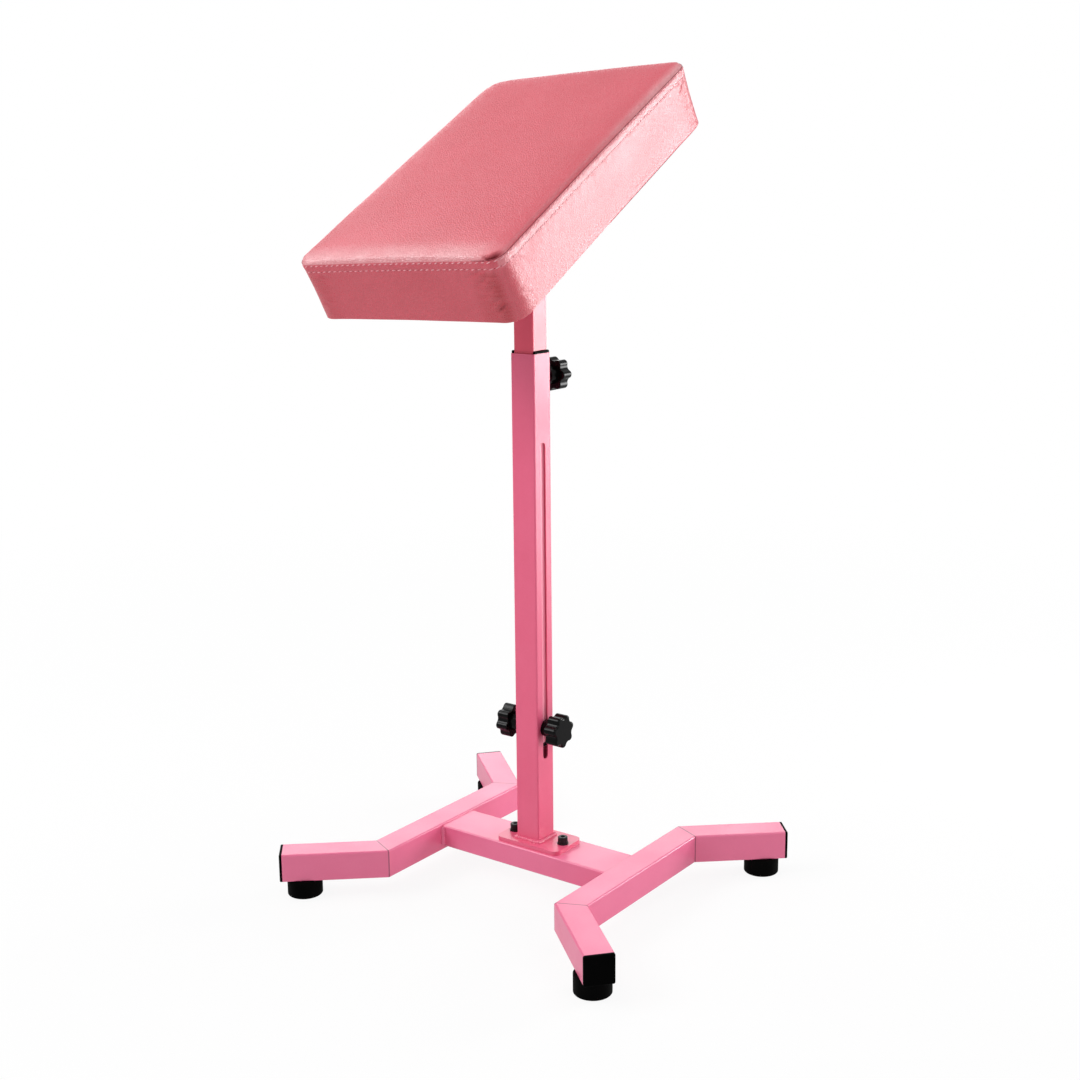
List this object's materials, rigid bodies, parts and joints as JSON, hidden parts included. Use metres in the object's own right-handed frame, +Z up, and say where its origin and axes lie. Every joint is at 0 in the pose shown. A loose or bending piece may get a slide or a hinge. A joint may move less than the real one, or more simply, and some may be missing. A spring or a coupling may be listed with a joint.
{
  "type": "tattoo arm rest stand",
  "caption": "Free-standing arm rest for tattoo work: four-legged tube base, slotted telescopic column with star knobs, tilting padded rest.",
  "frame": {"origin": "on the floor under the centre of the column and of the base", "axes": "+Z up; X along the crossbar, -X left and +X right; Y along the side tubes, -Y front and +Y rear, towards the raised edge of the pad"},
  "size_m": [0.4484, 0.4095, 0.8854],
  "materials": {
    "pink_paint": "satin",
    "column_paint": "satin",
    "mast_paint": "satin",
    "leather_pink": "satin",
    "cap_plastic": "satin",
    "knob_plastic": "gloss",
    "foot_rubber": "matte",
    "black_steel": "satin",
    "zinc_steel": "satin",
    "plywood": "matte",
    "lining_fabric": "matte",
    "nylon": "satin",
    "foam": "matte"
  },
  "bodies": {
    "base": {"crossbar": "pink_paint", "left_side_tube": "pink_paint", "right_side_tube": "pink_paint", "front_left_leg": "pink_paint", "front_left_leg_cap": "cap_plastic", "front_left_foot": "foot_rubber", "front_right_leg": "pink_paint", "front_right_leg_cap": "cap_plastic", "front_right_foot": "foot_rubber", "rear_left_leg": "pink_paint", "rear_left_leg_cap": "cap_plastic", "rear_left_foot": "foot_rubber", "rear_right_leg": "pink_paint", "rear_right_leg_cap": "cap_plastic", "rear_right_foot": "foot_rubber", "frame_welds": "pink_paint", "foot_screws": "zinc_steel", "foot_washers": "zinc_steel", "foot_nuts": "zinc_steel", "column_plate": "column_paint", "outer_tube": "column_paint", "column_weld": "column_paint", "base_bolts": "black_steel", "base_washers": "black_steel", "base_nuts": "zinc_steel", "rear_clamp_nut": "column_paint", "left_guide_shim": "cap_plastic", "right_guide_shim": "cap_plastic"},
    "mast": {"inner_tube": "mast_paint", "mast_bottom_plug": "cap_plastic", "mast_top_cap": "cap_plastic", "pivot_bushing": "zinc_steel", "lower_clamp_nuts": "zinc_steel", "lower_knob_washers": "cap_plastic"},
    "arm_rest": {"bracket_plate": "mast_paint", "left_bracket_ear": "mast_paint", "right_bracket_ear": "mast_paint", "pivot_bolt": "zinc_steel", "friction_washers": "nylon", "tilt_knob_washer": "zinc_steel", "pad_board": "plywood", "board_tee_nuts": "zinc_steel", "bracket_screws": "zinc_steel", "underside_lining": "lining_fabric", "pad_foam": "foam", "pad_cover": "leather_pink"},
    "rear_clamp": {"rear_knob": "knob_plastic", "rear_knob_stud": "zinc_steel"},
    "left_clamp": {"left_knob": "knob_plastic", "left_knob_stud": "zinc_steel"},
    "right_clamp": {"right_knob": "knob_plastic", "right_knob_stud": "zinc_steel"},
    "tilt_clamp": {"tilt_knob": "knob_plastic", "tilt_knob_insert": "zinc_steel"}
  },
  "joints": [
    {"name": "height_slide", "type": "slide", "parent": "base", "child": "mast", "axis": [0, 0, 1], "range_m": [-0.0315, 0.3125]},
    {"name": "pad_tilt", "type": "hinge", "parent": "mast", "child": "arm_rest", "pos_m": [0, 0, 0.7073], "axis": [1, 0, 0], "range_deg": [-30, 60]},
    {"name": "rear_knob_turn", "type": "hinge", "parent": "base", "child": "rear_clamp", "pos_m": [0, 0.026, 0.571], "axis": [0, 1, 0], "range_deg": [0, 360]},
    {"name": "left_knob_turn", "type": "hinge", "parent": "mast", "child": "left_clamp", "pos_m": [-0.0166, 0, 0.186], "axis": [-1, 0, 0], "range_deg": [0, 360]},
    {"name": "right_knob_turn", "type": "hinge", "parent": "mast", "child": "right_clamp", "pos_m": [0.0166, 0, 0.186], "axis": [1, 0, 0], "range_deg": [0, 360]},
    {"name": "tilt_knob_turn", "type": "hinge", "parent": "arm_rest", "child": "tilt_clamp", "pos_m": [-0.0179, 0, 0.7073], "axis": [-1, 0, 0], "range_deg": [0, 360]}
  ]
}
